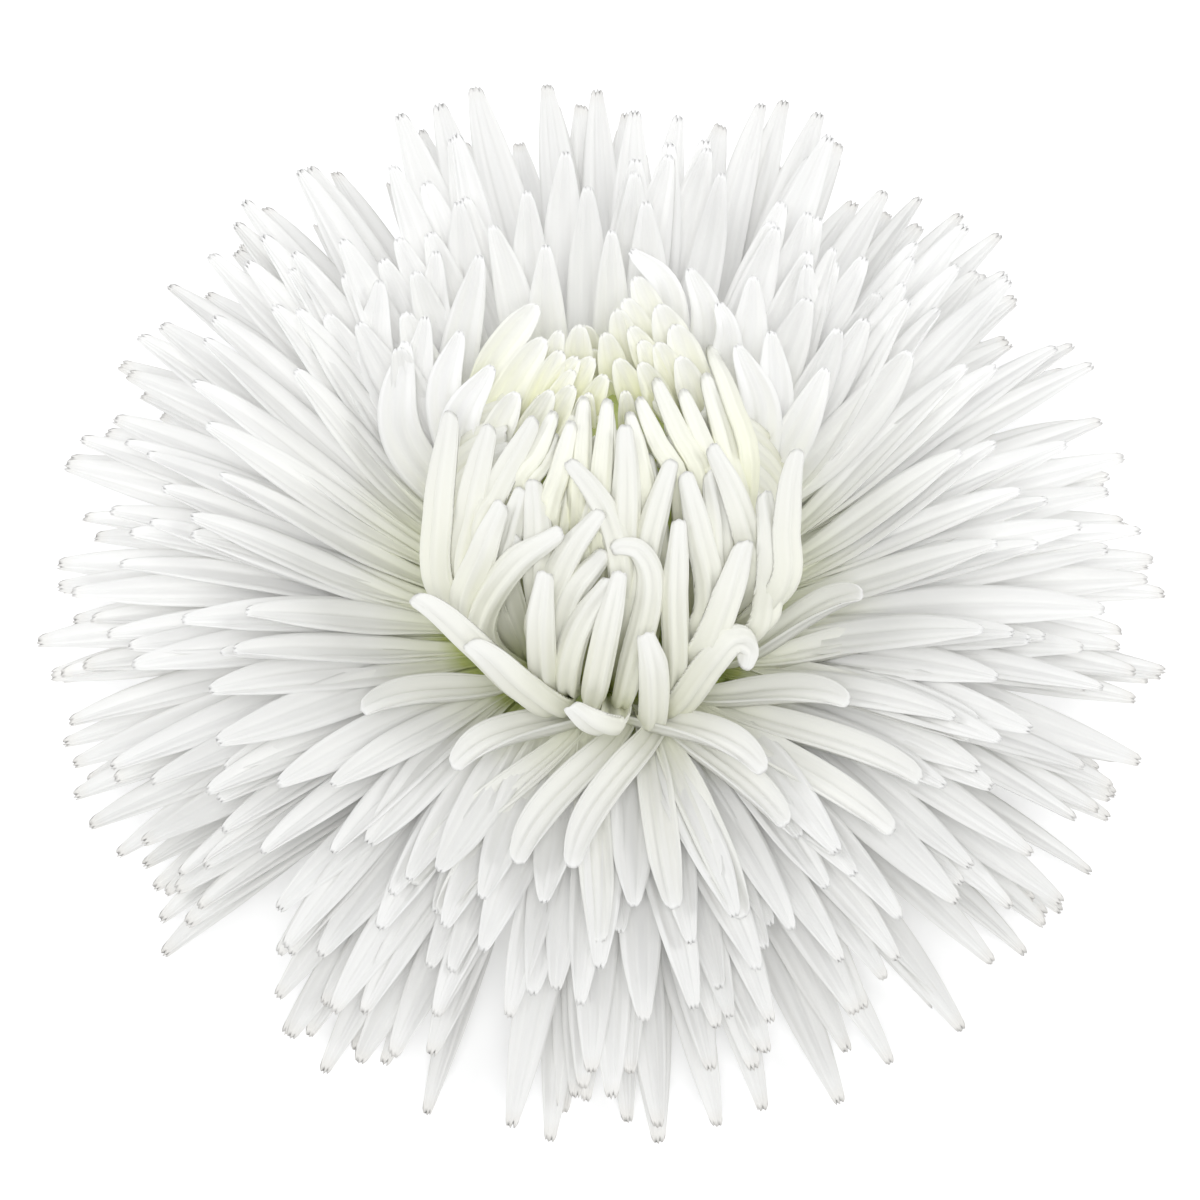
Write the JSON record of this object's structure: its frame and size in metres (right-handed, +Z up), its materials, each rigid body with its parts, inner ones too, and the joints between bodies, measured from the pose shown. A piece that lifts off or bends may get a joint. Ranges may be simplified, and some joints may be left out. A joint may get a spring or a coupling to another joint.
{
  "type": "chrysanthemum bloom",
  "caption": "Fully double white chrysanthemum bloom, face up on its cut stalk stub: long radiating florets in layers round a ball of incurved florets with a pale yellow-green heart.",
  "frame": {"origin": "on the surface that the bloom lies on, under the middle of its bounding box", "axes": "+Z up along the axis of the bloom, away from the stalk; -Y towards the side that the picture shows in front"},
  "size_m": [0.1206, 0.1202, 0.0501],
  "materials": {
    "stalk_green": "fresh green stalk, faintly ribbed and downy, with a paler moist cut face",
    "calyx_green": "matte green bracts with a darker midrib and thin pale dry edges",
    "petal_white": "satin white petal, slightly translucent, with fine lengthwise veins and a yellow-green base",
    "heart_yellow": "satin pale yellow-green petal, slightly translucent, greener towards the base"
  },
  "bodies": {
    "root": {"stem": "stalk_green", "calyx": "calyx_green", "white_florets": "petal_white", "heart_florets": "heart_yellow"}
  },
  "joints": []
}
